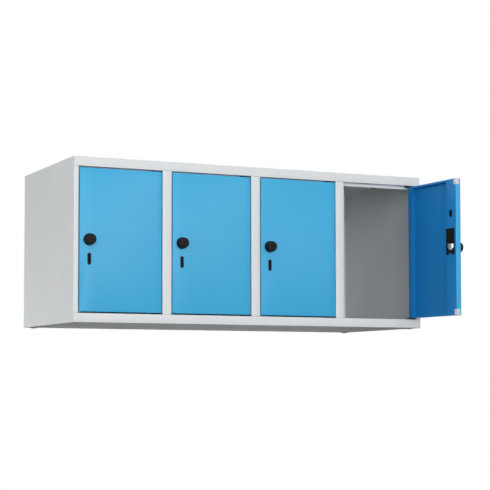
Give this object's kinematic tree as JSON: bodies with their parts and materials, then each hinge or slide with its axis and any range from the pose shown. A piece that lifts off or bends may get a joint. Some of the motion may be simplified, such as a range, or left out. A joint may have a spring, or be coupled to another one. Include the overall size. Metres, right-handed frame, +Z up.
{
  "type": "coin operated locker",
  "caption": "Low sheet steel locker block with side-hinged doors, each with a coin slot, turning knob and sliding bolt; grey body, blue doors.",
  "frame": {"origin": "middle of the base panel's flat underside", "axes": "+Z up, -Y out of the front where the doors are, +X along the row of compartments to the right as seen from the front"},
  "size_m": [1.2151, 0.7564, 0.5],
  "materials": {
    "grey_paint": "light grey powder coat on folded sheet steel, fine texture, semi-matt",
    "blue_paint": "sky blue powder coat on folded sheet steel, fine texture, semi-matt",
    "black_plastic": "black moulded nylon, satin",
    "grey_plastic": "pale grey moulded plastic, satin",
    "zinc": "bright zinc die casting, lightly polished"
  },
  "bodies": {
    "carcass": {"roof_panel": "grey_paint", "base_panel": "grey_paint", "back_panel": "grey_paint", "side_panel_left": "grey_paint", "side_panel_right": "grey_paint", "stile_1": "grey_paint", "stile_2": "grey_paint", "stile_3": "grey_paint", "partition_1": "grey_paint", "partition_2": "grey_paint", "partition_3": "grey_paint", "foot_front_left": "grey_plastic", "foot_front_right": "grey_plastic", "foot_rear_left": "grey_plastic", "foot_rear_right": "grey_plastic", "roof_plug": "black_plastic", "hinge_top_1": "black_plastic", "hinge_bottom_1": "black_plastic", "hinge_top_2": "black_plastic", "hinge_bottom_2": "black_plastic", "hinge_top_3": "black_plastic", "hinge_bottom_3": "black_plastic", "hinge_top_4": "black_plastic", "hinge_bottom_4": "black_plastic"},
    "door_leaf_1": {"door_1": "blue_paint", "lock_case_1": "black_plastic", "coin_slot_1": "black_plastic", "buffer_top_1": "grey_plastic", "buffer_bottom_1": "grey_plastic", "rosette_1": "black_plastic"},
    "door_leaf_2": {"door_2": "blue_paint", "lock_case_2": "black_plastic", "coin_slot_2": "black_plastic", "buffer_top_2": "grey_plastic", "buffer_bottom_2": "grey_plastic", "rosette_2": "black_plastic"},
    "door_leaf_3": {"door_3": "blue_paint", "lock_case_3": "black_plastic", "coin_slot_3": "black_plastic", "buffer_top_3": "grey_plastic", "buffer_bottom_3": "grey_plastic", "rosette_3": "black_plastic"},
    "door_leaf_4": {"door_4": "blue_paint", "lock_case_4": "black_plastic", "coin_slot_4": "black_plastic", "buffer_top_4": "grey_plastic", "buffer_bottom_4": "grey_plastic", "rosette_4": "black_plastic"},
    "turn_knob_1": {"knob_1": "black_plastic"},
    "turn_knob_2": {"knob_2": "black_plastic"},
    "turn_knob_3": {"knob_3": "black_plastic"},
    "turn_knob_4": {"knob_4": "black_plastic"},
    "lock_bolt_1": {"bolt_1": "zinc"},
    "lock_bolt_2": {"bolt_2": "zinc"},
    "lock_bolt_3": {"bolt_3": "zinc"},
    "lock_bolt_4": {"bolt_4": "zinc"}
  },
  "joints": [
    {"name": "door_swing_1", "type": "hinge", "parent": "carcass", "child": "door_leaf_1", "pos_m": [-0.324, -0.2465, 0.248], "axis": [0, 0, 1], "range_deg": [0, 110]},
    {"name": "door_swing_2", "type": "hinge", "parent": "carcass", "child": "door_leaf_2", "pos_m": [-0.024, -0.2465, 0.248], "axis": [0, 0, 1], "range_deg": [0, 110]},
    {"name": "door_swing_3", "type": "hinge", "parent": "carcass", "child": "door_leaf_3", "pos_m": [0.276, -0.2465, 0.248], "axis": [0, 0, 1], "range_deg": [0, 110]},
    {"name": "door_swing_4", "type": "hinge", "parent": "carcass", "child": "door_leaf_4", "pos_m": [0.576, -0.2465, 0.248], "axis": [0, 0, 1], "range_deg": [-93, 17]},
    {"name": "knob_turn_1", "type": "hinge", "parent": "door_leaf_1", "child": "turn_knob_1", "pos_m": [-0.551, -0.25, 0.248], "axis": [0, 1, 0], "range_deg": [0, 90]},
    {"name": "knob_turn_2", "type": "hinge", "parent": "door_leaf_2", "child": "turn_knob_2", "pos_m": [-0.251, -0.25, 0.248], "axis": [0, 1, 0], "range_deg": [0, 90]},
    {"name": "knob_turn_3", "type": "hinge", "parent": "door_leaf_3", "child": "turn_knob_3", "pos_m": [0.049, -0.25, 0.248], "axis": [0, 1, 0], "range_deg": [0, 90]},
    {"name": "knob_turn_4", "type": "hinge", "parent": "door_leaf_4", "child": "turn_knob_4", "pos_m": [0.59137, -0.47301, 0.248], "axis": [-0.9986, -0.0523, 0], "range_deg": [0, 90]},
    {"name": "bolt_slide_1", "type": "slide", "parent": "door_leaf_1", "child": "lock_bolt_1", "axis": [-1, 0, 0], "range_m": [0, 0.013]},
    {"name": "bolt_slide_2", "type": "slide", "parent": "door_leaf_2", "child": "lock_bolt_2", "axis": [-1, 0, 0], "range_m": [0, 0.013]},
    {"name": "bolt_slide_3", "type": "slide", "parent": "door_leaf_3", "child": "lock_bolt_3", "axis": [-1, 0, 0], "range_m": [0, 0.013]},
    {"name": "bolt_slide_4", "type": "slide", "parent": "door_leaf_4", "child": "lock_bolt_4", "axis": [0.0523, -0.9986, 0], "range_m": [0, 0.013]}
  ],
  "couplings": [
    {"joint": "bolt_slide_1", "follows": "knob_turn_1", "m_per_rad": 0.00827},
    {"joint": "bolt_slide_2", "follows": "knob_turn_2", "m_per_rad": 0.00827},
    {"joint": "bolt_slide_3", "follows": "knob_turn_3", "m_per_rad": 0.00827},
    {"joint": "bolt_slide_4", "follows": "knob_turn_4", "m_per_rad": 0.00827}
  ]
}
